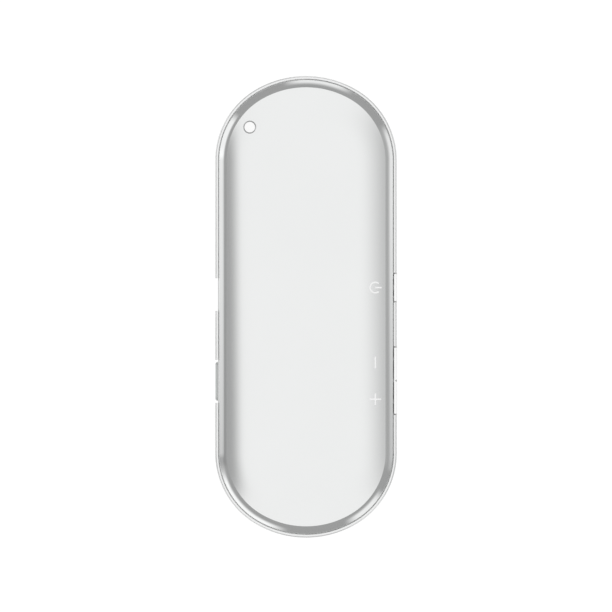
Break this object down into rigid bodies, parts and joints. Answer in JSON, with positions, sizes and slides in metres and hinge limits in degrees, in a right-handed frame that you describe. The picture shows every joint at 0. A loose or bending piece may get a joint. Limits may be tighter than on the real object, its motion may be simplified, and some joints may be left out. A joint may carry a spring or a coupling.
{
  "type": "bluetooth speaker",
  "caption": "Slim pill-shaped wireless speaker: domed front and back covers on a thin frame, side buttons, charging and memory card sockets, and a lanyard hole.",
  "frame": {"origin": "centre of the front face, which carries the sound holes and lies down on z = 0", "axes": "+Y along the speaker towards the end with the lanyard hole, +X across it towards the buttons, +Z from the front face to the back"},
  "size_m": [0.052, 0.132, 0.01],
  "materials": {
    "antenna_white": "white ceramic block",
    "basket_black": "black moulded basket",
    "battery_foil": "silver laminated foil pouch",
    "board_green": "green solder mask over glass-fibre board",
    "button_white": "bright white moulding, polished",
    "capacitor_tan": "tan ceramic blocks",
    "card_grey": "plain grey, satin",
    "chip_black": "black epoxy package",
    "coil_copper": "wound enamelled copper wire",
    "cover_pearl": "silver-white pearl moulding, satin panel with a polished sloping rim",
    "crystal_steel": "plated metal can",
    "diaphragm_film": "thin metallised film",
    "frame_white": "white moulding, polished",
    "front_white": "white moulding, fine satin texture",
    "gasket_foam": "black closed-cell foam",
    "inductor_grey": "dark ferrite block",
    "lead_black": "black insulation",
    "lead_red": "red insulation",
    "magnet_nickel": "nickel-plated magnet",
    "pad_foam": "black double-sided foam",
    "resistor_black": "black film on ceramic",
    "screw_steel": "zinc-plated steel",
    "socket_black": "black moulded insulator",
    "socket_steel": "nickel-plated folded sheet",
    "surround_film": "thin rolled film",
    "switch_steel": "plated frame",
    "terminal_board": "brown contact strip",
    "yoke_steel": "zinc-plated mild steel"
  },
  "bodies": {
    "housing": {"amplifier_chip": "chip_black", "back_cover": "cover_pearl", "battery": "battery_foil", "battery_lead_negative": "lead_black", "battery_lead_positive": "lead_red", "battery_pad": "pad_foam", "bluetooth_chip": "chip_black", "board_screws": "screw_steel", "capacitors": "capacitor_tan", "card_socket_base": "socket_black", "card_socket_shell": "socket_steel", "chip_antenna": "antenna_white", "crystal": "crystal_steel", "front_cover": "front_white", "lower_driver_basket": "basket_black", "lower_driver_gasket": "gasket_foam", "lower_driver_magnet": "magnet_nickel", "lower_driver_terminal": "terminal_board", "lower_driver_top_plate": "yoke_steel", "lower_driver_yoke": "yoke_steel", "lower_speaker_lead_negative": "lead_black", "lower_speaker_lead_positive": "lead_red", "lower_surround": "surround_film", "main_board": "board_green", "memory_chip": "chip_black", "mid_frame": "frame_white", "power_inductor": "inductor_grey", "power_switch": "switch_steel", "resistors": "resistor_black", "upper_driver_basket": "basket_black", "upper_driver_gasket": "gasket_foam", "upper_driver_magnet": "magnet_nickel", "upper_driver_terminal": "terminal_board", "upper_driver_top_plate": "yoke_steel", "upper_driver_yoke": "yoke_steel", "upper_speaker_lead_negative": "lead_black", "upper_speaker_lead_positive": "lead_red", "upper_surround": "surround_film", "usb_socket_shell": "socket_steel", "usb_socket_tongue": "socket_black", "volume_down_switch": "switch_steel", "volume_up_switch": "switch_steel"},
    "power_button": {"power_button": "button_white"},
    "volume_rocker": {"volume_rocker": "button_white"},
    "memory_card": {"memory_card": "card_grey"},
    "upper_cone": {"upper_voice_coil": "coil_copper", "upper_diaphragm": "diaphragm_film"},
    "lower_cone": {"lower_voice_coil": "coil_copper", "lower_diaphragm": "diaphragm_film"}
  },
  "joints": [
    {"name": "power_press", "type": "slide", "parent": "housing", "child": "power_button", "axis": [-1, 0, 0], "range_m": [0, 0.0002], "stiffness_N_per_m": 1000},
    {"name": "volume_rock", "type": "hinge", "parent": "housing", "child": "volume_rocker", "pos_m": [0.0243, -0.0211, 0.005], "axis": [0, 0, 1], "range_deg": [-1.1, 1.1], "stiffness_Nm_per_rad": 0.05},
    {"name": "card_slide", "type": "slide", "parent": "housing", "child": "memory_card", "axis": [-1, 0, 0], "range_m": [-0.0005, 0.004]},
    {"name": "upper_cone_stroke", "type": "slide", "parent": "housing", "child": "upper_cone", "axis": [0, 0, 1], "range_m": [-0.00025, 0.00025], "stiffness_N_per_m": 1200, "deforming": ["upper_surround"]},
    {"name": "lower_cone_stroke", "type": "slide", "parent": "housing", "child": "lower_cone", "axis": [0, 0, 1], "range_m": [-0.00025, 0.00025], "stiffness_N_per_m": 1200, "deforming": ["lower_surround"]}
  ]
}
